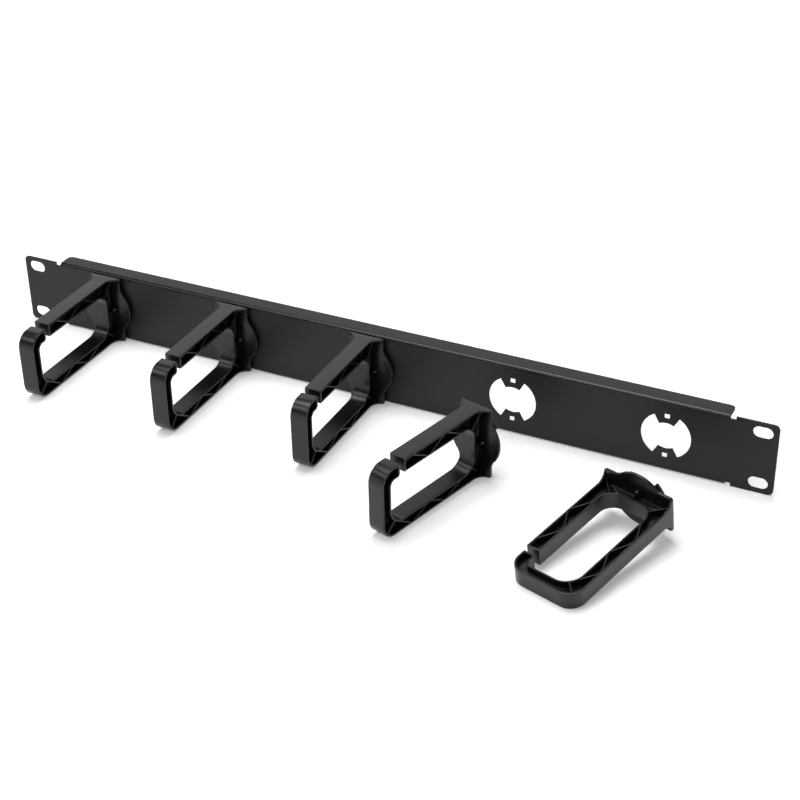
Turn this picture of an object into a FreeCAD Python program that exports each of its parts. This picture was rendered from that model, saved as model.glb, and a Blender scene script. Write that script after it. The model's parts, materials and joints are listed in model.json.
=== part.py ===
import FreeCAD, Part
import math
import os
import Sketcher

# Horizontal cable manager for a 19-inch rack: one folded steel panel, one rack unit high,
# with five round bayonet cut-outs, and five moulded cable rings that twist into them.
# Three rings are fitted. Two have been taken off and stand and lie on the surface in front.
#
# Frame, in millimetres: the origin is the centre of the four rack slots, on the rear face of
# the panel that meets the rack rails. +X runs along the panel, +Y goes into the rack, +Z is up.

os.makedirs("parts", exist_ok=True)
doc = FreeCAD.newDocument("cable_manager")
sheet = doc.addObject("Spreadsheet::Sheet", "Dims")
V = FreeCAD.Vector


class Size:
    """A number together with the spreadsheet expression that gives it."""

    def __init__(self, number, text):
        self.n, self.text = number, text

    @staticmethod
    def of(other):
        return other if isinstance(other, Size) else Size(other, repr(other))

    def join(self, other, sign, number):
        return Size(number, "(%s %s %s)" % (self.text, sign, Size.of(other).text))

    def __add__(self, other):
        return self.join(other, "+", self.n + Size.of(other).n)

    def __sub__(self, other):
        return self.join(other, "-", self.n - Size.of(other).n)

    def __mul__(self, other):
        return self.join(other, "*", self.n * Size.of(other).n)

    def __truediv__(self, other):
        return self.join(other, "/", self.n / Size.of(other).n)

    def __neg__(self):
        return self * -1


def size(alias, number, note):
    """Write one named dimension in the sheet, and hand it back."""
    size.row += 1
    sheet.set("A%d" % size.row, note)
    sheet.set("B%d" % size.row, str(number))
    sheet.setAlias("B%d" % size.row, alias)
    return Size(number, "Dims." + alias)


size.row = 0

# Panel
panel_width = size("panel_width", 482.6, "19-inch front panel, overall width")
panel_high = size("panel_high", 44.0, "one rack unit, less the gap between neighbours")
sheet_thk = size("sheet_thk", 1.2, "steel sheet thickness")
corner_rad = size("corner_rad", 3.0, "front corners and back corners of the flanges")
flange_deep = size("flange_deep", 11.0, "depth of both folded flanges from the front face")
ear_long = size("ear_long", 26.8, "plain ear, from the end of the flanges to the panel's end")
bend_rad = size("bend_rad", 2.0, "outer radius of the folds")
relief_wide = size("relief_wide", 3.1, "bend relief notch beside each flange end")
slot_edge = size("slot_edge", 8.75, "rack slot centres, from the panel's ends")
slot_span_z = size("slot_span_z", 31.75, "rack slot centres up the rack")
slot_long = size("slot_long", 11.0, "rack slot, end to end")
slot_high = size("slot_high", 7.0, "rack slot height")
flange_half = panel_width / 2 - ear_long
slot_span_x = panel_width - slot_edge * 2

# Bayonet cut-outs in the panel
ring_count = 5
row_edge = size("row_edge", 61.3, "outermost cut-outs, from the panel's ends")
lobe_rad = size("lobe_rad", 14.25, "radius of the two side lobes")
tab_rad = size("tab_rad", 8.25, "inner radius of the top and bottom tabs")
tab_half = size("tab_half", 30.0, "half angle of a tab, degrees")
nib_hole = size("nib_hole", 3.0, "square hole in each tab")
nib_out = size("nib_out", 12.4, "distance of the square holes from the centre")
ring_pitch = (panel_width - row_edge * 2) / (ring_count - 1)

# Cable ring, seen from the side
ring_high = size("ring_high", 43.0, "overall height")
reach = size("reach", 84.5, "from the panel face to the front of the loop")
arm_wide = size("arm_wide", 10.0, "width of the loop")
hook_long = size("hook_long", 13.8, "from the front of the loop back to the cable gap")
cable_gap = size("cable_gap", 3.4, "gap between the arm and the hook")
arm_deep = size("arm_deep", 7.9, "height of the upper arm's section")
limb_deep = size("limb_deep", 6.8, "height of the lower limb's section")
front_deep = size("front_deep", 6.6, "depth of the front wall's section")
hook_drop = size("hook_drop", 1.2, "the hook's top lies this far under the arm's top")
hook_deep = size("hook_deep", 7.4, "height of the hook's section")
loop_rear = size("loop_rear", 9.5, "back wall of the loop, from the panel face")
rear_rad = size("rear_rad", 8.5, "loop's two rear corners")
front_rad = size("front_rad", 10.0, "loop's lower front corner")
crook_rad = size("crook_rad", 3.5, "inner corner under the hook")
nose_rad = size("nose_rad", 9.0, "outer corners at the front")
lip_rad = size("lip_rad", 2.0, "underside of the hook's lip")
arm_long = reach - hook_long - cable_gap

# Cable ring: walls, ribs and base
wall_out = size("wall_out", 1.2, "outer wall")
wall_in = size("wall_in", 1.1, "wall round the loop")
web_thk = size("web_thk", 1.2, "web in the middle plane")
rib_thk = size("rib_thk", 0.9, "bracing ribs")
node_gap = size("node_gap", 1.6, "distance between two ribs that meet at a wall")
rib_lead = size("rib_lead", 5.9, "foremost rib foot of the zigzag, from the end of the arm")
rib_rear = size("rib_rear", 20.0, "rearmost rib foot of the zigzag, from the panel face")
rib_bays = 3
rib_start = arm_long - rib_lead
rib_bay = (rib_start - rib_rear) / rib_bays
base_wide = size("base_wide", 21.9, "width of the base plate")
plate_thk = size("plate_thk", 1.65, "thickness of the base plate")
plate_cut = size("plate_cut", 0.8, "chamfer on the corners of the base plate")
root_thk = size("root_thk", 4.2, "thick web between the loop and the base plate")
flare_rad = size("flare_rad", 6.5, "sweep of the arms into the base plate")
disc_rad = size("disc_rad", 16.6, "round flange that covers the cut-out, flush with the plate")
disc_ease = size("disc_ease", 1.5, "chamfer where the round flange runs into the plate's sides")
foot_high = size("foot_high", 1.4, "feet that hold the base off the panel")
foot_side = size("foot_side", 3.0, "side of each square foot")
foot_x = size("foot_x", 7.5, "feet, sideways from the middle")
foot_z = size("foot_z", 17.0, "feet, above and below the middle")

# Bayonet behind the base, with its running clearances in the panel
run_gap = size("run_gap", 0.1, "play between the panel and each face that grips it")
hub_play = size("hub_play", 0.08, "radial play of the hub between the tabs")
ear_play = size("ear_play", 0.25, "radial play of the ears in the lobes")
ear_trim = size("ear_trim", 6.0, "each side of an ear is this much narrower, degrees")
ear_thk = size("ear_thk", 2.0, "thickness of the ears")

# The two rings that are off the panel, on the surface that the panel stands on
stand_x = size("stand_x", 87.6, "standing ring: middle of its base, along the panel")
stand_y = size("stand_y", -42.9, "standing ring: middle of its base, in front of the panel")
stand_turn = size("stand_turn", -14.8, "standing ring: turn about the vertical, degrees")
lying_x = size("lying_x", 185.0, "lying ring: middle of its base, along the panel")
lying_y = size("lying_y", -54.2, "lying ring: middle of its base, in front of the panel")
lying_turn = size("lying_turn", -17.1, "lying ring: turn about the vertical, degrees")
doc.recompute()

half_ring = ring_high / 2
sizes = {}                                  # last volume of each body, by name


# ---- sketches ----------------------------------------------------------------------------

def new_body(label):
    body = doc.addObject("PartDesign::Body", label)
    body.Label = label
    return body


def origin_plane(body, role):
    return next(f for f in body.Origin.OriginFeatures if f.Role == role)


def new_sketch(body, name, plane, offset=None):
    """A sketch on one of the body's own origin planes, moved along its normal by offset."""
    sketch = body.newObject("Sketcher::SketchObject", name)
    sketch.AttachmentSupport = [(origin_plane(body, plane), "")]
    sketch.MapMode = "FlatFace"
    if offset is not None:
        sketch.setExpression("AttachmentOffset.Base.z", offset.text)
    return sketch


def bound(sketch, *parts):
    """Add a constraint whose last value is a Size, tied to the sheet."""
    value = Size.of(parts[-1])
    index = sketch.addConstraint(Sketcher.Constraint(*parts[:-1], value.n))
    if "Dims" in value.text:
        sketch.setExpression("Constraints[%d]" % index, value.text)


def tie(sketch, *parts):
    sketch.addConstraint(Sketcher.Constraint(*parts))


def pin(sketch, geo, end, x, y):
    """Fix a point of the sketch at x, y."""
    bound(sketch, "DistanceX", -1, 1, geo, end, x)
    bound(sketch, "DistanceY", -1, 1, geo, end, y)


def guide_point(sketch, x, y):
    x, y = Size.of(x), Size.of(y)
    geo = sketch.addGeometry(Part.Point(V(x.n, y.n, 0)), True)
    pin(sketch, geo, 1, x, y)
    return geo


def outline(sketch, corners):
    """Closed outline through corners (x, y) or (x, y, radius), each radius a tangent arc."""
    spots = []
    for corner in corners:
        x, y = Size.of(corner[0]), Size.of(corner[1])
        spots.append((V(x.n, y.n, 0), x, y, corner[2] if len(corner) > 2 else None))
    count = len(spots)
    ends = []
    for i, (here, x, y, radius) in enumerate(spots):
        back = (spots[i - 1][0] - here).normalize()
        ahead = (spots[(i + 1) % count][0] - here).normalize()
        if radius is None:
            ends.append((here, here, None))
            continue
        half = back.getAngle(ahead) / 2
        run = radius.n / math.tan(half)
        middle = here + (back + ahead).normalize() * (radius.n / math.sin(half))
        ends.append((here + back * run, here + ahead * run, middle))
    lines = [sketch.addGeometry(Part.LineSegment(ends[i][1], ends[(i + 1) % count][0]), False)
             for i in range(count)]
    for i, (here, x, y, radius) in enumerate(spots):
        before, after = lines[i - 1], lines[i]
        if radius is None:
            tie(sketch, "Coincident", before, 2, after, 1)
            pin(sketch, after, 1, x, y)
            continue
        start, stop, middle = ends[i]
        turn = (start - middle).cross(stop - middle).z
        first, last = (start, stop) if turn > 0 else (stop, start)
        angles = [math.atan2((p - middle).y, (p - middle).x) for p in (first, last)]
        circle = Part.Circle(middle, V(0, 0, 1), radius.n)
        arc = sketch.addGeometry(Part.ArcOfCircle(circle, angles[0], angles[1]), False)
        at_start, at_stop = (1, 2) if turn > 0 else (2, 1)
        tie(sketch, "Tangent", before, 2, arc, at_start)
        tie(sketch, "Tangent", arc, at_stop, after, 1)
        bound(sketch, "Radius", arc, radius)
        point = guide_point(sketch, x, y)
        tie(sketch, "PointOnObject", point, 1, before)
        tie(sketch, "PointOnObject", point, 1, after)


def four_arcs(sketch, x, y, side_rad, end_rad, half):
    """Four arcs about one centre, joined by radial edges.

    The top and bottom arcs have radius end_rad and reach half degrees to each side of the
    vertical; the two side arcs have radius side_rad and fill the rest of the turn.
    """
    x, y = Size.of(x), Size.of(y)
    centre = guide_point(sketch, x, y)
    middle = V(x.n, y.n, 0)
    cuts = [90 - half.n, 90 + half.n, 270 - half.n, 270 + half.n]
    texts = ["%d deg %s %s * 1 deg" % (base, sign, half.text)
             for base in (90, 270) for sign in "-+"]
    radii = [end_rad, side_rad, end_rad, side_rad]
    arcs = []
    for i, radius in enumerate(radii):
        first, last = math.radians(cuts[i]), math.radians(cuts[(i + 1) % 4])
        circle = Part.Circle(middle, V(0, 0, 1), radius.n)
        arcs.append(sketch.addGeometry(Part.ArcOfCircle(circle, first, last), False))
        tie(sketch, "Coincident", arcs[i], 3, centre, 1)
    for i, radius in enumerate(radii[:2]):
        bound(sketch, "Radius", arcs[i], radius)
        tie(sketch, "Equal", arcs[i], arcs[i + 2])
    for i in range(4):
        ray = V(math.cos(math.radians(cuts[i])), math.sin(math.radians(cuts[i])), 0)
        meeting = [(radii[i - 1].n, arcs[i - 1], 2), (radii[i].n, arcs[i], 1)]
        near, far = sorted(meeting)
        line = sketch.addGeometry(
            Part.LineSegment(middle + ray * near[0], middle + ray * far[0]), False)
        tie(sketch, "Coincident", line, 1, near[1], near[2])
        tie(sketch, "Coincident", line, 2, far[1], far[2])
        tie(sketch, "PointOnObject", centre, 1, line)
        angle = Sketcher.Constraint("Angle", line, math.radians(cuts[i]))
        sketch.setExpression("Constraints[%d]" % sketch.addConstraint(angle), texts[i])


def obround(sketch, x, y, long, high):
    """A slot along x, end to end long, with full round ends."""
    run = (long - high) / 2
    rad = high / 2
    arcs = []
    for side in (1, -1):
        cx = x + run * side
        circle = Part.Circle(V(cx.n, y.n, 0), V(0, 0, 1), rad.n)
        start = -math.pi / 2 if side > 0 else math.pi / 2
        arc = sketch.addGeometry(Part.ArcOfCircle(circle, start, start + math.pi), False)
        pin(sketch, arc, 3, cx, y)
        bound(sketch, "Radius", arc, rad)
        arcs.append(arc)
    for end, other, up in ((arcs[0], arcs[1], 1), (arcs[1], arcs[0], -1)):
        line = sketch.addGeometry(Part.LineSegment(
            V(x.n + up * run.n, y.n + up * rad.n, 0),
            V(x.n - up * run.n, y.n + up * rad.n, 0)), False)
        tie(sketch, "Tangent", end, 2, line, 1)
        tie(sketch, "Tangent", line, 2, other, 1)


def square(sketch, x, y, side):
    half = side / 2
    outline(sketch, [(x - half, y - half), (x + half, y - half),
                     (x + half, y + half), (x - half, y + half)])


def rib(sketch, start, stop):
    """A straight rib of rib_thk with its middle line from start to stop, both (x, y)."""
    a = V(start[0].n, start[1].n, 0)
    b = V(stop[0].n, stop[1].n, 0)
    across = V(a.y - b.y, b.x - a.x, 0).normalize() * (rib_thk.n / 2)
    loop = [a - across, b - across, b + across, a + across]
    sides = [sketch.addGeometry(Part.LineSegment(loop[i], loop[(i + 1) % 4]), False)
             for i in range(4)]
    for i in range(4):
        tie(sketch, "Coincident", sides[i - 1], 2, sides[i], 1)
    for end, place in ((sides[1], stop), (sides[3], start)):
        point = guide_point(sketch, *place)
        tie(sketch, "Symmetric", end, 1, end, 2, point, 1)
        bound(sketch, "Distance", end, rib_thk)
        tie(sketch, "Perpendicular", end, sides[0])


def pad(body, name, sketch, length, symmetric=False, back=False):
    """Add material: along the sketch's normal, both ways, or against it."""
    feature = body.newObject("PartDesign::Pad", name)
    feature.Profile = sketch
    feature.setExpression("Length", length.text)
    feature.SideType = "Symmetric" if symmetric else "One side"
    feature.Reversed = back
    return finish(body, feature)


def pocket(body, name, sketch, length=None, symmetric=False, along=False):
    """Remove material through everything, or to length; along the sketch's normal if asked."""
    feature = body.newObject("PartDesign::Pocket", name)
    feature.Profile = sketch
    if length is None:
        feature.Type = "ThroughAll"
    else:
        feature.setExpression("Length", length.text)
    feature.SideType = "Symmetric" if symmetric else "One side"
    feature.Reversed = along
    return finish(body, feature)


def finish(body, feature):
    """Make the feature the body's result, and make sure that it added or cut something."""
    before = sizes.get(body.Name, 0.0)
    body.Tip = feature
    doc.recompute()
    after = feature.Shape.Volume
    if feature.TypeId == "PartDesign::Pad" and after < before + 0.01:
        raise RuntimeError("%s of %s added nothing" % (feature.Name, body.Label))
    if feature.TypeId == "PartDesign::Pocket" and after > before - 0.01:
        raise RuntimeError("%s of %s cut nothing" % (feature.Name, body.Label))
    sizes[body.Name] = after
    return feature


def dress_edges(body, name, kind, setting, amount, wanted):
    """Fillet or chamfer the edges of the body's last feature for which wanted(edge) is true."""
    last = body.Tip
    names = ["Edge%d" % (i + 1) for i, edge in enumerate(last.Shape.Edges) if wanted(edge)]
    feature = body.newObject(kind, name)
    feature.Base = (last, names)
    feature.setExpression(setting, amount.text)
    return finish(body, feature)


# ---- panel -------------------------------------------------------------------------------

def build_panel():
    """Front sheet with a flange folded back along its top and bottom, and two plain ears."""
    body = new_body("panel")
    top = panel_high / 2
    rear = flange_deep - sheet_thk
    inner = bend_rad - sheet_thk

    section = new_sketch(body, "fold_section", "YZ_Plane")
    outline(section, [(-sheet_thk, -top, bend_rad), (rear, -top), (rear, sheet_thk - top),
                      (0, sheet_thk - top, inner), (0, top - sheet_thk, inner),
                      (rear, top - sheet_thk), (rear, top), (-sheet_thk, top, bend_rad)])
    pad(body, "folded_channel", section, flange_half * 2, symmetric=True)

    ears = new_sketch(body, "ear_outline", "XZ_Plane")
    inside = flange_half - bend_rad
    shoulder = flange_half + relief_wide
    edge = panel_width / 2
    low = top - bend_rad
    for side in (1, -1):
        outline(ears, [(inside * side, -low), (shoulder * side, -low), (shoulder * side, -top),
                       (edge * side, -top, corner_rad), (edge * side, top, corner_rad),
                       (shoulder * side, top), (shoulder * side, low), (inside * side, low)])
    pad(body, "ears", ears, sheet_thk)

    slots = new_sketch(body, "slot_outline", "XZ_Plane")
    for side in (1, -1):
        for level in (1, -1):
            obround(slots, slot_span_x / 2 * side, slot_span_z / 2 * level, slot_long, slot_high)
    pocket(body, "rack_slots", slots, along=True)

    keyhole = new_sketch(body, "bayonet_outline", "XZ_Plane")
    first = ring_pitch * (-(ring_count - 1) / 2)
    four_arcs(keyhole, first, 0.0, lobe_rad, tab_rad, tab_half)
    for up in (1, -1):
        square(keyhole, first, nib_out * up, nib_hole)
    cut = pocket(body, "bayonet_cut", keyhole, along=True)
    row = body.newObject("PartDesign::LinearPattern", "bayonet_row")
    row.Originals = [cut]
    row.Direction = (keyhole, ["H_Axis"])
    row.setExpression("Length", (ring_pitch * (ring_count - 1)).text)
    row.Occurrences = ring_count
    finish(body, row)

    def flange_end(edge):
        middle = edge.CenterOfMass
        return (abs(edge.Length - sheet_thk.n) < 0.01 and abs(middle.y - rear.n) < 0.01
                and abs(abs(middle.x) - flange_half.n) < 0.01)

    dress_edges(body, "flange_corners", "PartDesign::Fillet", "Radius", corner_rad, flange_end)
    return body


# ---- cable ring --------------------------------------------------------------------------

top = half_ring                             # heights in the ring are from its middle
low = -half_ring
arm_under = top - arm_deep
limb_top = low + limb_deep
hook_top = top - hook_drop
hook_under = hook_top - hook_deep
loop_mid = (arm_under + limb_top) / 2
front = -reach                              # depths in the ring are from the panel side
front_in = front + front_deep
arm_end = -arm_long
lip = arm_end - cable_gap
hub_rad = tab_rad - hub_play
ear_face = sheet_thk + run_gap * 2
plate_back = -foot_high
plate_front = plate_back - plate_thk
crook_cut = (crook_rad + wall_in) * (2 - math.sqrt(2))
DIAGONAL = math.sqrt(0.5)


def side_outline(sketch):
    """The ring from the side: a flat loop that stays open between its arm and its hook."""
    outline(sketch, [
        (plate_back, low), (plate_back, top),
        (arm_end, top), (arm_end, arm_under),
        (-loop_rear, arm_under, rear_rad), (-loop_rear, limb_top, rear_rad),
        (front_in, limb_top, front_rad), (front_in, hook_under, crook_rad),
        (lip, hook_under, lip_rad), (lip, hook_top),
        (front, hook_top, nose_rad), (front, low, nose_rad)])


def recess_outline(sketch):
    """The hollow between the outer wall and the wall round the loop."""
    back = wall_in - loop_rear
    outline(sketch, [
        (plate_front, low + wall_out), (plate_front, top - wall_out),
        (arm_end + wall_out, top - wall_out), (arm_end + wall_out, arm_under + wall_in),
        (back, arm_under + wall_in, rear_rad + wall_in),
        (back, limb_top - wall_in, rear_rad + wall_in),
        (front_in - wall_in, limb_top - wall_in, front_rad + wall_in),
        (front_in - wall_in, hook_under + wall_in - crook_cut),
        (front_in - wall_in + crook_cut, hook_under + wall_in),
        (lip - wall_out, hook_under + wall_in),
        (lip - wall_out, hook_top - wall_out),
        (front + wall_out, hook_top - wall_out, nose_rad - wall_out),
        (front + wall_out, low + wall_out, nose_rad - wall_out)])


def flare_outline(sketch):
    """What is cut away beside the loop, so that its arms sweep out into the base."""
    inner, outer = arm_wide / 2, base_wide / 2 + flare_rad
    beyond = front - wall_out
    for side in (1, -1):
        outline(sketch, [(inner * side, beyond), (inner * side, plate_front, flare_rad),
                         (outer * side, plate_front), (outer * side, beyond)])


def on_wall(centre_y, centre_z, radius, run_y, run_z):
    """A point in the thickness of a rounded corner, in direction run_y, run_z."""
    return centre_y + radius * run_y, centre_z + radius * run_z


def brace_outline(sketch):
    """Zigzag ribs in both limbs, and ribs across the front corner and behind the loop."""
    outer_low, outer_top = low + wall_out / 2, top - wall_out / 2
    inner_low, inner_top = limb_top - wall_in / 2, arm_under + wall_in / 2
    shift = node_gap / 2
    feet = [rib_bay * i - rib_start for i in range(rib_bays + 1)]
    for outer, inner in ((outer_low, inner_low), (outer_top, inner_top)):
        rib(sketch, (feet[0] + shift, outer), (feet[1] - shift, inner))
        rib(sketch, (feet[1] + shift, inner), (feet[2] - shift, outer))
        rib(sketch, (feet[2] + shift, outer), (feet[3] - shift, inner))
    # lower front corner: one rib out to the nose, one down to the first foot
    core = front_rad + wall_in / 2
    corner_y, corner_z = front_in + front_rad, limb_top + front_rad
    nose = nose_rad - wall_out / 2
    rib(sketch, on_wall(corner_y, corner_z, core, -DIAGONAL, -DIAGONAL),
        on_wall(front + nose_rad, low + nose_rad, nose, -DIAGONAL, -DIAGONAL))
    rib(sketch, on_wall(corner_y, corner_z, core, -0.5, -math.sqrt(0.75)),
        (feet[0] - shift, outer_low))
    # behind the loop: from both rear corners to the corners of the base, and across the middle
    core = rear_rad + wall_in / 2
    corner_y = -loop_rear - rear_rad
    plate_mid = plate_front + plate_thk / 2
    for up, level, wall in ((1, arm_under, outer_top), (-1, limb_top, outer_low)):
        rib(sketch, on_wall(corner_y, level - rear_rad * up, core, DIAGONAL, DIAGONAL * up),
            (plate_mid, wall))
    rib(sketch, (wall_in / 2 - loop_rear, loop_mid), (plate_mid, loop_mid))


def root_outline(sketch):
    """The stretch of web that is thickened, from the wall behind the loop to the base plate."""
    back = wall_in / 2 - loop_rear
    mid = plate_front + plate_thk / 2
    outline(sketch, [(back, limb_top + rear_rad), (mid, low + wall_out / 2),
                     (mid, top - wall_out / 2), (back, arm_under - rear_rad)])


def circle(sketch, x, y, radius):
    x, y = Size.of(x), Size.of(y)
    geo = sketch.addGeometry(Part.Circle(V(x.n, y.n, 0), V(0, 0, 1), radius.n), False)
    pin(sketch, geo, 3, x, y)
    bound(sketch, "Radius", geo, radius)


def flange_level():
    """Height at which the round flange meets the sides of the base plate."""
    return math.sqrt(disc_rad.n ** 2 - (base_wide.n / 2) ** 2)


def flange_outline(sketch):
    """The round flange beside the base plate, closed by straight lines across the plate."""
    angle = math.atan2(flange_level(), base_wide.n / 2)
    arcs = []
    for start in (-angle, math.pi - angle):
        circle = Part.Circle(V(0, 0, 0), V(0, 0, 1), disc_rad.n)
        arc = sketch.addGeometry(Part.ArcOfCircle(circle, start, start + angle * 2), False)
        tie(sketch, "Coincident", arc, 3, -1, 1)
        bound(sketch, "Radius", arc, disc_rad)
        arcs.append(arc)
    for end, other, side in ((arcs[0], arcs[1], 1), (arcs[1], arcs[0], -1)):
        from_x, level = base_wide / 2 * side, flange_level() * side
        line = sketch.addGeometry(
            Part.LineSegment(V(from_x.n, level, 0), V(-from_x.n, level, 0)), False)
        tie(sketch, "Coincident", end, 2, line, 1)
        tie(sketch, "Coincident", line, 2, other, 1)
        tie(sketch, "Horizontal", line)
        bound(sketch, "DistanceX", -1, 1, line, 1, from_x)


def feet_outline(sketch):
    """Square feet on the back of the base, which slide on the front of the panel."""
    for side in (1, -1):
        for level in (1, -1):
            square(sketch, foot_x * side, foot_z * level, foot_side)


def drawn(body, name, plane, draw, offset=None):
    sketch = new_sketch(body, name, plane, offset)
    draw(sketch)
    return sketch


def build_ring(label):
    """One moulded ring. Its own origin is the middle of the base's face against the panel."""
    body = new_body(label)
    pad(body, "loop", drawn(body, "side_view", "YZ_Plane", side_outline),
        base_wide, symmetric=True)
    pocket(body, "flare", drawn(body, "top_view", "XY_Plane", flare_outline), symmetric=True)

    def base_corner(edge):
        middle = edge.CenterOfMass
        return (abs(abs(middle.x) - base_wide.n / 2) < 0.01
                and abs(abs(middle.z) - half_ring.n) < 0.01)

    dress_edges(body, "base_corners", "PartDesign::Chamfer", "Size", plate_cut, base_corner)
    hollow = pocket(body, "recess", drawn(body, "recess_view", "YZ_Plane", recess_outline,
                                          web_thk / 2), along=True)
    other = body.newObject("PartDesign::Mirrored", "recess_other_side")
    other.Originals = [hollow]
    other.MirrorPlane = (origin_plane(body, "YZ_Plane"), [""])
    finish(body, other)
    pad(body, "root", drawn(body, "root_view", "YZ_Plane", root_outline), root_thk,
        symmetric=True)
    pad(body, "bracing", drawn(body, "brace_view", "YZ_Plane", brace_outline),
        arm_wide, symmetric=True)
    pad(body, "round_flange", drawn(body, "flange_view", "XZ_Plane", flange_outline, foot_high),
        plate_thk)

    def flange_corner(edge):
        middle = edge.CenterOfMass
        return (abs(abs(middle.x) - base_wide.n / 2) < 0.01
                and abs(abs(middle.z) - flange_level()) < 0.01
                and abs(edge.Length - plate_thk.n) < 0.01)

    dress_edges(body, "flange_eases", "PartDesign::Chamfer", "Size", disc_ease, flange_corner)
    pad(body, "feet", drawn(body, "feet_view", "XZ_Plane", feet_outline), foot_high)
    # the bayonet: a hub through the panel, with two ears behind the panel's tabs
    pad(body, "hub", drawn(body, "hub_view", "XZ_Plane", lambda s: circle(s, 0, 0, hub_rad),
                           foot_high), foot_high + ear_face + ear_thk, back=True)
    ear_half = -tab_half - ear_trim + 90
    pad(body, "ears", drawn(body, "ear_view", "XZ_Plane",
                            lambda s: four_arcs(s, 0, 0, hub_rad / 2,
                                                lobe_rad - ear_play, ear_half),
                            -ear_face), ear_thk, back=True)
    return body


# ---- assembly ----------------------------------------------------------------------------

bodies = [build_panel()]
ground = -panel_high / 2
for place, label in enumerate(("ring_left", "ring_mid_left", "ring_centre")):
    fitted = build_ring(label)
    fitted.setExpression("Placement.Base.x",
                         (ring_pitch * (place - (ring_count - 1) / 2)).text)
    fitted.setExpression("Placement.Base.y", (-sheet_thk - run_gap).text)
    bodies.append(fitted)

standing = build_ring("ring_standing")
standing.Placement = FreeCAD.Placement(V(0, 0, 0), FreeCAD.Rotation(V(0, 0, 1), stand_turn.n))
standing.setExpression("Placement.Base.x", stand_x.text)
standing.setExpression("Placement.Base.y", stand_y.text)
standing.setExpression("Placement.Base.z", (ground + half_ring).text)
bodies.append(standing)

# The lying ring rests on the rim of its round flange and on the side of its front wall.
lying = build_ring("ring_lying")
tilt = math.atan2(disc_rad.n - arm_wide.n / 2, reach.n + plate_front.n)
lying.Placement = FreeCAD.Placement(
    V(lying_x.n, lying_y.n,
      ground.n + disc_rad.n * math.cos(tilt) - plate_front.n * math.sin(tilt)),
    FreeCAD.Rotation(V(0, 0, 1), lying_turn.n)
    * FreeCAD.Rotation(V(1, 0, 0), math.degrees(tilt))
    * FreeCAD.Rotation(V(0, 1, 0), -90))
bodies.append(lying)
doc.recompute()

for item in doc.Objects:
    if "Invalid" in item.State or "Error" in item.State:
        raise RuntimeError("%s did not build: %s" % (item.Label, item.State))
for body in bodies:
    shape = body.Shape
    if shape.isNull() or not shape.isValid() or len(shape.Solids) != 1:
        raise RuntimeError("%s is not one sound solid" % body.Label)
    shape.exportStep("parts/%s.step" % body.Label)
    box = shape.BoundBox
    print("%-14s volume %8.1f mm3  x %.2f..%.2f  y %.2f..%.2f  z %.2f..%.2f" % (
        body.Label, shape.Volume, box.XMin, box.XMax, box.YMin, box.YMax, box.ZMin, box.ZMax))
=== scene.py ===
# %% [markdown]
# # A horizontal cable manager
#
# The object is a black steel panel that fills one unit of a 19-inch rack. Moulded cable rings
# twist into cut-outs along it. Three rings are fitted, one stands in front of the panel and one
# lies on its side. The hard shapes come from the CAD frame, in metres, each already in its place.
# This lesson adds what CAD leaves out: finishes, softened edges, moulded pips, a floor, lamps
# and a camera.

# %% Load the frame
import json
import math

import bmesh
import bpy
from mathutils import Matrix, Vector

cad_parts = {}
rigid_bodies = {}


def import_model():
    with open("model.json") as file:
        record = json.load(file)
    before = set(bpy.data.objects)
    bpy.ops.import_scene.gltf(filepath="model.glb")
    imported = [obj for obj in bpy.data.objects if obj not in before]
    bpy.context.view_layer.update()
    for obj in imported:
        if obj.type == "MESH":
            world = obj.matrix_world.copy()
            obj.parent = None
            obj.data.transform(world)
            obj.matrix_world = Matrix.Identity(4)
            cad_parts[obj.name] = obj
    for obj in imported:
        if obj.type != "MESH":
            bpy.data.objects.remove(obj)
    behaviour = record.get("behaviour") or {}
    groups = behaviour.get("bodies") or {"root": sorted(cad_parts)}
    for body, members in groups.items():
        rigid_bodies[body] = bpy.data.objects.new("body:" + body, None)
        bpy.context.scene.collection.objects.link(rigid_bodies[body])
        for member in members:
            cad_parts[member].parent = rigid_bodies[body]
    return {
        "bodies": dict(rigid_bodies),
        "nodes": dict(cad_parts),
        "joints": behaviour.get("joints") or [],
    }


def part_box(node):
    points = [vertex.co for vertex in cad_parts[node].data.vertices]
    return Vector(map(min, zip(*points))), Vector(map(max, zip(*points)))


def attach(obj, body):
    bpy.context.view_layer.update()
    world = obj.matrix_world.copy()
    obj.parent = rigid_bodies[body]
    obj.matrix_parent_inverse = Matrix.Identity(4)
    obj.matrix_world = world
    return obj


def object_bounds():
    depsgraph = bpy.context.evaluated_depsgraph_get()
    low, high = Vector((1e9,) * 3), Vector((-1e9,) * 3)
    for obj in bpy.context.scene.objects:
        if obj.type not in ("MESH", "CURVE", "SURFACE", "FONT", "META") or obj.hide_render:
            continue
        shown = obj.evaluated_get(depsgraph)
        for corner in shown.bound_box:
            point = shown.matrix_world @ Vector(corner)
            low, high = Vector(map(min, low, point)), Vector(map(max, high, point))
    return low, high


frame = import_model()
cad_low, cad_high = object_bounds()
MM = 0.001
print("nodes:", sorted(frame["nodes"]))
print("size in mm:", [round(v / MM, 1) for v in cad_high - cad_low])

# %% [markdown]
# ## The camera
#
# The panel is nearly half a metre long and shallow, so a product picture of it is taken from the
# right front and from well above, with a long lens that keeps the far end from shrinking much.
# A camera could be aimed with a Track To constraint, but a slight roll would be lost. Here its
# three axes are worked out from compass heading, pitch and roll, and go straight into the
# camera's matrix.

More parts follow.
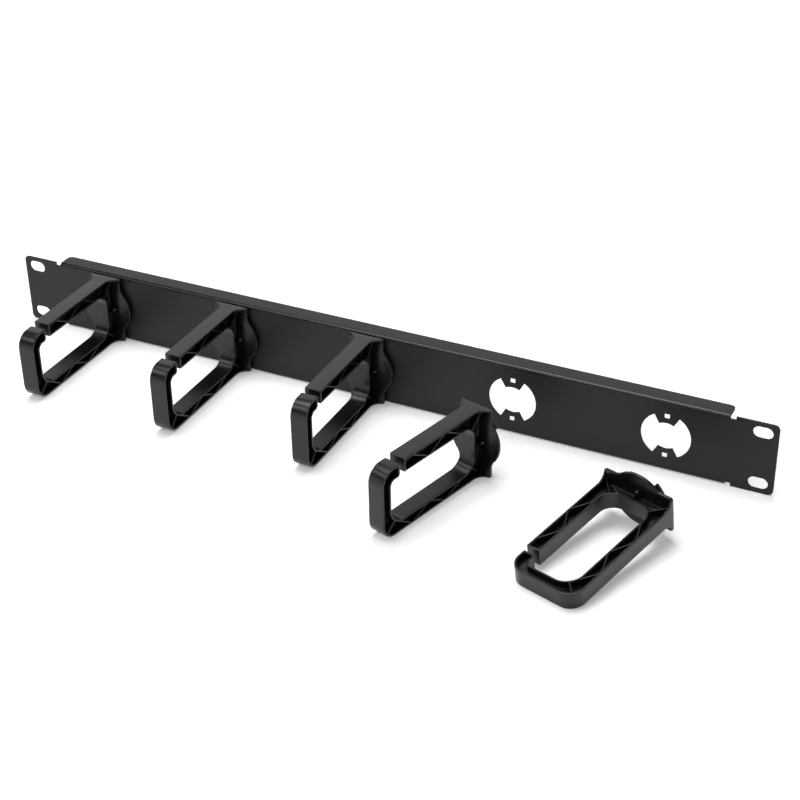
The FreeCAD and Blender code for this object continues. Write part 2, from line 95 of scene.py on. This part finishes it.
# %% Aim the camera
HEADING, PITCH, ROLL = math.radians(-26.38), math.radians(31.54), math.radians(-0.96)
LENS, SENSOR = 78.35, 36
eye = Vector((403.7, -775.4, 512.5)) * MM
ahead = Vector((math.sin(HEADING) * math.cos(PITCH), math.cos(HEADING) * math.cos(PITCH),
                -math.sin(PITCH)))
level = Vector((math.cos(HEADING), -math.sin(HEADING), 0))
upright = level.cross(ahead)
right = level * math.cos(ROLL) + upright * math.sin(ROLL)
up = upright * math.cos(ROLL) - level * math.sin(ROLL)

camera = bpy.data.objects.new("camera", bpy.data.cameras.new("camera"))
camera.data.sensor_width, camera.data.lens = SENSOR, LENS
camera.data.clip_start, camera.data.clip_end = 0.05, 50
camera.matrix_world = Matrix.Translation(eye) @ Matrix((right, up, -ahead)).transposed().to_4x4()
bpy.context.scene.collection.objects.link(camera)
bpy.context.scene.camera = camera
bpy.context.scene.view_settings.view_transform = "Standard"
print("camera at", [round(v, 3) for v in eye], "lens", LENS)

# %% [markdown]
# ## Shader maths that reads like Python
#
# A finish is a small network of nodes. Building it by hand means many lines of new nodes and
# links. Two short classes take that away. `Wire` stands for the output of a node and knows plus,
# minus and times, so `1 - grain * 0.2` adds its own Math nodes.

# %% A wire


class Wire:
    """One node output; sums of wires and numbers add Math nodes."""

    def __init__(self, finish, socket):
        self.finish, self.socket = finish, socket

    def maths(self, operation, *values):
        """Add the Math node that does this operation on wires and numbers."""
        return self.finish.node("ShaderNodeMath", {"operation": operation},
                                dict(enumerate(values)))

    def __add__(self, other):
        return self.maths("ADD", self, other)

    def __sub__(self, other):
        return self.maths("SUBTRACT", self, other)

    def __rsub__(self, other):
        return self.maths("SUBTRACT", other, self)

    def __mul__(self, other):
        return self.maths("MULTIPLY", self, other)

    def __abs__(self):
        return self.maths("ABSOLUTE", self)

    __radd__, __rmul__ = __add__, __mul__


print("a wire answers to:", [name for name, known in vars(Wire).items() if callable(known)])

# %% [markdown]
# `Finish` holds the nodes of a material or of the world. Its method `node` adds any node from
# its type, its settings and what goes into its sockets. The others are short forms of the nodes
# that come up again and again: noise, a blend of two colours, one axis of a vector, and a value
# held between 0 and 1, which makes a mask.

# %% A finish
MIX_A, MIX_B, MIX_RESULT = 6, 7, 2  # the colour sockets among all that a Mix node has


class Finish:
    """The node tree of a material or world, and one method that adds any node to it."""

    def __init__(self, owner):
        owner.use_nodes = True
        self.owner, self.tree = owner, owner.node_tree
        self.tree.nodes.clear()

    def node(self, kind, settings=None, sockets=None, out=0):
        """Add a node: its settings first, then the values or links of its sockets."""
        made = self.tree.nodes.new(kind)
        for key, value in (settings or {}).items():
            setattr(made, key, value)
        for key, value in (sockets or {}).items():
            if isinstance(value, Wire):
                self.tree.links.new(value.socket, made.inputs[key])
            else:
                made.inputs[key].default_value = value
        return Wire(self, made.outputs[out]) if made.outputs else made

    def noise(self, grain_mm, detail, stretch=(1, 1, 1)):
        """Noise from 0 to 1 whose patches are about grain_mm across."""
        spot = self.node("ShaderNodeTexCoord", out="Object")
        spot = self.node("ShaderNodeMapping", {}, {"Vector": spot, "Scale": stretch})
        return self.node("ShaderNodeTexNoise", {},
                         {"Vector": spot, "Scale": 1 / (grain_mm * MM), "Detail": detail,
                          "Roughness": 0.5})

    def blend(self, factor, first, second):
        """From colour first to colour second as factor goes from 0 to 1."""
        return self.node("ShaderNodeMix", {"data_type": "RGBA"},
                         {"Factor": factor, MIX_A: first, MIX_B: second}, out=MIX_RESULT)

    def along(self, axis, vector):
        """The X, Y or Z of a vector."""
        return self.node("ShaderNodeSeparateXYZ", {}, {"Vector": vector}, out=axis)

    def mask(self, value, slope):
        """0 where value is negative, then slope times value, until that reaches 1."""
        return self.node("ShaderNodeMath", {"operation": "MULTIPLY", "use_clamp": True},
                         {0: value, 1: slope})

    def surface(self, shader, output="ShaderNodeOutputMaterial"):
        """Send the shader to the output, and hand back the finished material or world."""
        self.node(output, {}, {"Surface": shader})
        print("finish", self.owner.name, "has", len(self.tree.nodes), "nodes")
        return self.owner


def grey(level):
    """A colour with no hue, from 0, black, to 1, white."""
    return (level, level, level, 1)


print("a finish knows:", [name for name in vars(Finish) if not name.startswith("_")])

# %% [markdown]
# ## Black powder coat for the steel
#
# The panel is sprayed with dry powder and baked, so the coat is thin, even and satin. Close up it
# has a fine pebbled skin, and its gloss wanders a little where the powder lay thicker. A flat
# black would look like a hole, so fine noise lifts the skin through a Bump node, coarse noise
# moves the roughness, and the colour is a very dark neutral grey.
#
# The coat is thinner over the two long folds, where the steel stretched before it was sprayed.
# A thin coat is glossier, so each fold shows a crisp line. The mask for that could be painted,
# but it is worked out instead from how high a point is above or below the middle and how far
# back it is, because the folds run straight along the whole panel.

# %% Powder coat
FOLD_RADIUS = 2.0 * MM
ONTO_FLANGE = 0.2 * MM  # how far the thin coat reaches past the fold
SHADE = 0.3 * MM  # the width over which it fades in
panel_low, panel_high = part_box("panel")
fold_start, fold_end = panel_high.z - FOLD_RADIUS, panel_low.y + FOLD_RADIUS + ONTO_FLANGE

coat = Finish(bpy.data.materials.new("black_powder_coat"))
pebble = coat.noise(0.45, detail=2.5)
cloud = coat.noise(26, detail=3.0)
spot = coat.node("ShaderNodeTexCoord", out="Object")
past_start = coat.mask(abs(coat.along("Z", spot)) - fold_start, 1 / SHADE)
before_end = coat.mask(fold_end - coat.along("Y", spot), 1 / SHADE)
coat_skin = coat.node("ShaderNodeBump", {}, {"Height": pebble, "Strength": 0.16,
                                             "Distance": 0.06 * MM})
powder_coat = coat.surface(coat.node("ShaderNodeBsdfPrincipled", {}, {
    "Base Color": coat.blend(cloud * 0.7 + pebble * 0.3, grey(0.004), grey(0.008)),
    "Roughness": 0.35 + cloud * 0.12 + pebble * 0.05 - past_start * before_end * 0.26,
    "IOR": 1.39, "Normal": coat_skin}))

# %% [markdown]
# ## Black moulded plastic for the rings
#
# The rings are injection moulded in a tool whose walls are lightly etched, which leaves an even
# satin skin, finer than powder coat. Plastic also flows into the tool along the limbs, and that
# shows as faint long streaks in the gloss. One noise is stretched along the ring for the streaks
# and another is very fine for the etched skin. The same recipe with paler greys serves the pips
# that the ejector pins pushed. Their paler grey is a painted highlight, for the glint that their
# smooth ends catch.

# %% Moulded plastic


def moulding(name, darkest, lightest):
    """Satin moulded plastic whose grey wanders between two levels."""
    plastic = Finish(bpy.data.materials.new(name))
    etched = plastic.noise(0.22, detail=1.5)
    flow = plastic.noise(9, detail=2.0, stretch=(1, 0.25, 1))
    skin = plastic.node("ShaderNodeBump", {}, {"Height": etched, "Strength": 0.14,
                                               "Distance": 0.04 * MM})
    return plastic.surface(plastic.node("ShaderNodeBsdfPrincipled", {}, {
        "Base Color": plastic.blend(flow * 0.6 + etched * 0.4, grey(darkest), grey(lightest)),
        "Roughness": 0.22 + flow * 0.10 + etched * 0.04, "IOR": 1.44, "Normal": skin}))


moulded = moulding("black_moulded_plastic", 0.003, 0.006)
# The pips' paler greys are a painted highlight, for the glint on their smooth ends.
pip_painted_highlight = moulding("pip_plastic_painted_highlight", 0.07, 0.16)

# %% [markdown]
# ## Softened edges
#
# CAD edges are perfectly sharp, and a sharp edge never catches light. Real sheet steel is
# deburred and then rounded a little more by its coat, and moulded edges have a small radius. A
# Bevel node in the material could fake this, but the exported model would lose it. A Bevel
# modifier makes real faces and leaves the frame's own mesh alone. It needs joined corners, so a
# Weld comes before it, and Weighted Normal after it keeps the large faces flat in the shading.

# %% Soften and finish the CAD nodes
RINGS = ["ring_left", "ring_mid_left", "ring_centre", "ring_standing", "ring_lying"]
STEEL_EDGE, PLASTIC_EDGE = 0.2, 0.35
JOIN_WITHIN, SHARP_FROM = 0.002 * MM, math.radians(32)


def soften(node, width_mm):
    """Round the sharp edges of a CAD node by a small radius, through modifiers alone."""
    weld = node.modifiers.new("join_corners", "WELD")
    weld.merge_threshold = JOIN_WITHIN
    bevel = node.modifiers.new("soft_edges", "BEVEL")
    bevel.width = width_mm * MM
    bevel.segments = 2
    bevel.limit_method = "ANGLE"
    bevel.angle_limit = SHARP_FROM
    bevel.use_clamp_overlap = False
    bevel.loop_slide = False
    node.modifiers.new("flat_shading", "WEIGHTED_NORMAL").keep_sharp = True


def dress(data, material):
    """Give a mesh one finish and smooth shading."""
    data.materials.clear()
    data.materials.append(material)
    for face in data.polygons:
        face.use_smooth = True


def finish_node(name, material, width_mm):
    """Dress a CAD node and soften its edges."""
    node = frame["nodes"][name]
    dress(node.data, material)
    soften(node, width_mm)
    print(name, "is", material.name, "with edges of", width_mm, "mm")


finish_node("panel", powder_coat, STEEL_EDGE)
for name in RINGS:
    finish_node(name, moulded, PLASTIC_EDGE)

# %% [markdown]
# ## Where each ring is
#
# Every ring is the same moulding, so small details are worked out once, in the ring's own
# space: its origin is the middle of the base, Y runs back to the panel and Z is up. A matrix per
# ring then carries them to its place. A fitted ring turns about its own middle, so its joint
# says where that is. The standing ring rests on its lower limb. The lying ring rests on the rim
# of its round flange and on the side of its front wall, so it tips a little, and how much
# follows from the ring's sizes.

# %% Ring places
CLEARANCE = 0.1 * MM  # between the panel and the back of a fitted base
PLATE_FRONT = 3.05 * MM  # from the origin to the front of the base plate
ARM_HALF = 5.0 * MM  # half the width of the loop
STANDING_X, STANDING_Y, STANDING_TURN = 87.6 * MM, -42.9 * MM, math.radians(-14.8)
LYING_X, LYING_Y, LYING_TURN = 185.0 * MM, -54.2 * MM, math.radians(-17.1)

place = {joint["child"]: Matrix.Translation(Vector(joint["pos_m"]) - Vector((0, CLEARANCE, 0)))
         for joint in frame["joints"]}
centre_low, centre_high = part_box("ring_centre")
flange_radius, reach = centre_high.x, place["ring_centre"].translation.y - centre_low.y

standing_z = cad_low.z - centre_low.z
place["ring_standing"] = (Matrix.Translation((STANDING_X, STANDING_Y, standing_z))
                          @ Matrix.Rotation(STANDING_TURN, 4, "Z"))

tip = math.atan2(flange_radius - ARM_HALF, reach - PLATE_FRONT)
lying_z = cad_low.z + flange_radius * math.cos(tip) + PLATE_FRONT * math.sin(tip)
place["ring_lying"] = (Matrix.Translation((LYING_X, LYING_Y, lying_z))
                       @ Matrix.Rotation(LYING_TURN, 4, "Z") @ Matrix.Rotation(tip, 4, "X")
                       @ Matrix.Rotation(math.radians(-90), 4, "Y"))
print("ring places:", {k: [round(c, 4) for c in m.translation] for k, m in place.items()})

# %% [markdown]
# ## Moulded pips
#
# A small round pip stands on the base plate on each side of the ring, at the end of the middle
# rib, where an ejector pin met the mould. It could be a UV sphere, but half of one would be
# buried. A dome is built instead from a few rings of points, like a lathe would turn it, with
# its foot just inside the base plate.

# %% A dome
DOME_SIDES = 12
# From the foot up: how far out, as a share of the radius, and how high, as a share of the height.
DOME_PROFILE = [(1.0, -0.25), (1.0, 0.35), (0.86, 0.72), (0.5, 0.94)]


def dome(mesh, centre, radius, height):
    """Add a low dome that points along -Y, with its foot sunk a little behind centre."""
    turns = [math.tau * i / DOME_SIDES for i in range(DOME_SIDES)]
    loops = [[mesh.verts.new(centre + Vector((math.cos(a) * radius * out, -rise * height,
                                              math.sin(a) * radius * out))) for a in turns]
             for out, rise in DOME_PROFILE]
    top = mesh.verts.new(centre + Vector((0, -height, 0)))
    pairs = [(i, (i + 1) % DOME_SIDES) for i in range(DOME_SIDES)]
    for lower, upper in zip(loops, loops[1:]):
        for i, j in pairs:
            mesh.faces.new((lower[i], lower[j], upper[j], upper[i]))
    for i, j in pairs:
        mesh.faces.new((loops[-1][i], loops[-1][j], top))
    mesh.faces.new(reversed(loops[0]))


print("a dome has", len(DOME_PROFILE), "rings of", DOME_SIDES, "points and a top")

# %% [markdown]
# Both pips of a ring make one piece. It rides on the ring's body, so it turns with the ring. The
# two loose rings have no body of their own and ride with the panel.

# %% Pips on every ring
PIP_OUT, PIP_RADIUS, PIP_HEIGHT = 5.8 * MM, 0.68 * MM, 1.6 * MM


def make_pips(ring):
    """Both pips of one ring, as one piece that rides with it."""
    mesh = bmesh.new()
    for side in (1, -1):
        dome(mesh, Vector((PIP_OUT * side, -PLATE_FRONT, 0)), PIP_RADIUS, PIP_HEIGHT)
    bmesh.ops.recalc_face_normals(mesh, faces=mesh.faces)
    mesh.transform(place[ring])
    data = bpy.data.meshes.new("pips_" + ring)
    mesh.to_mesh(data)
    mesh.free()
    dress(data, pip_painted_highlight)
    pips = bpy.data.objects.new("pips_" + ring, data)
    bpy.context.scene.collection.objects.link(pips)
    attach(pips, ring if ring in frame["bodies"] else "panel")
    return pips


for name in RINGS:
    made = make_pips(name)

# %% [markdown]
# ## A white floor that keeps shadows
#
# A product shot has a white sweep under it. Turning the lamps up until the floor clips would
# wash out the object, so the lamps stay plain and the floor helps itself: for rays that come
# from the camera, or from a mirror or glass, its paper is a purer white and it adds a little
# glow. That takes it to white in the open and leaves a soft grey where the object shades it.
# Far out, where the lamps no longer reach, the glow alone grows to white.

# %% Floor
FLOOR_HALF = 12  # metres from the middle to an edge
GAP_UNDER = 0.05 * MM
floor_mesh = bmesh.new()
bmesh.ops.create_grid(floor_mesh, x_segments=24, y_segments=24, size=FLOOR_HALF)
floor_data = bpy.data.meshes.new("floor")
floor_mesh.to_mesh(floor_data)
floor_mesh.free()
floor = bpy.data.objects.new("floor", floor_data)
floor.location.z = cad_low.z - GAP_UNDER
bpy.context.scene.collection.objects.link(floor)
print("floor at", round(floor.location.z / MM, 2), "mm")

# %% [markdown]
# The floor's finish adds two shaders: the paper, which takes light and shadow, and the glow,
# whose colour grows to white with the distance from the object.

# %% White sweep


def seen(finish):
    """1 for rays from the camera and for rays that a glossy or clear surface sends on."""
    straight = finish.node("ShaderNodeLightPath", out="Is Camera Ray")
    mirrored = finish.node("ShaderNodeLightPath", out="Is Glossy Ray")
    through = finish.node("ShaderNodeLightPath", out="Is Transmission Ray")
    return straight + mirrored + through


GLOW_START, GLOW_SLOPE = 0.5, 0.7  # metres from the object, and growth per metre
sweep = Finish(bpy.data.materials.new("white_sweep"))
looked_at = seen(sweep)
paper = sweep.node("ShaderNodeBsdfDiffuse", {}, {
    "Color": sweep.blend(looked_at, grey(0.8), grey(1.0))})
out_from_object = sweep.node("ShaderNodeVectorMath", {"operation": "LENGTH"}, {
    0: sweep.node("ShaderNodeTexCoord", out="Object")}, out="Value")
far = sweep.mask(out_from_object - GLOW_START, GLOW_SLOPE)
glow = sweep.node("ShaderNodeEmission", {}, {
    "Color": sweep.blend(far, grey(0.25), grey(1.0)), "Strength": looked_at})
floor_data.materials.append(sweep.surface(
    sweep.node("ShaderNodeAddShader", {}, {0: paper, 1: glow})))

# %% [markdown]
# ## Lamps
#
# Satin black shows little of its own colour. What the eye reads as its form is mostly the
# reflection of the studio, so the studio is laid out for it. A soft box overhead gives the light
# and the shadows. A long one at the upper front draws the bright line round each curve, a low
# one behind lifts the tops, and a small one at the right front finds the fine edges.

# %% Soft boxes


def soft_box(name, place_m, aim_m, size_m, power):
    """A rectangular lamp at one point, turned to face another."""
    data = bpy.data.lights.new(name, "AREA")
    data.shape = "RECTANGLE"
    data.size, data.size_y = size_m
    data.energy = power
    lamp = bpy.data.objects.new(name, data)
    lamp.location = place_m
    lamp.rotation_euler = (Vector(aim_m) - Vector(place_m)).to_track_quat("-Z", "Y").to_euler()
    bpy.context.scene.collection.objects.link(lamp)
    print(name, "power", power)


RINGS_MIDDLE, PANEL_MIDDLE = (0, -0.05, 0), (0, 0, 0)
soft_box("overhead", (-0.25, 0.15, 1.6), RINGS_MIDDLE, (1.2, 0.9), 22)
soft_box("back", (-0.75, 1.35, 0.85), PANEL_MIDDLE, (2.0, 0.7), 1)
soft_box("front_top", (-0.55, -1.0, 1.25), RINGS_MIDDLE, (1.6, 0.4), 9)
soft_box("right_front", (0.9, -1.2, 1.0), RINGS_MIDDLE, (0.7, 0.5), 2)

# %% [markdown]
# ## The room
#
# A studio picture wrapped round the scene could give the rest of the reflections, but a few
# nodes are enough. The world is a pale wall that rises higher at the back than at the front,
# under a dark ceiling. It is white where it is looked at, and dim where it only lights the
# object, so that the lamps keep their shadows. A world has directions but no places, so the
# wall's height is how much a direction of length 1 rises.

# %% World
WALL_HEIGHT, HIGHER_BEHIND, EDGE_SLOPE = 0.52, 0.22, 8.0
CEILING, DIM_WALL, WHITE_WALL = grey(0.04), grey(0.2), grey(1.0)

sky = Finish(bpy.data.worlds.new("studio"))
bpy.context.scene.world = sky.owner
toward = sky.node("ShaderNodeTexCoord", out="Generated")
wall_top = WALL_HEIGHT + sky.along("Y", toward) * HIGHER_BEHIND
wall = sky.mask(wall_top - sky.along("Z", toward), EDGE_SLOPE)
wall_colour = sky.blend(seen(sky), DIM_WALL, WHITE_WALL)
backdrop = sky.node("ShaderNodeBackground", {}, {
    "Color": sky.blend(wall, CEILING, wall_colour)})
sky.surface(backdrop, "ShaderNodeOutputWorld")

# %% [markdown]
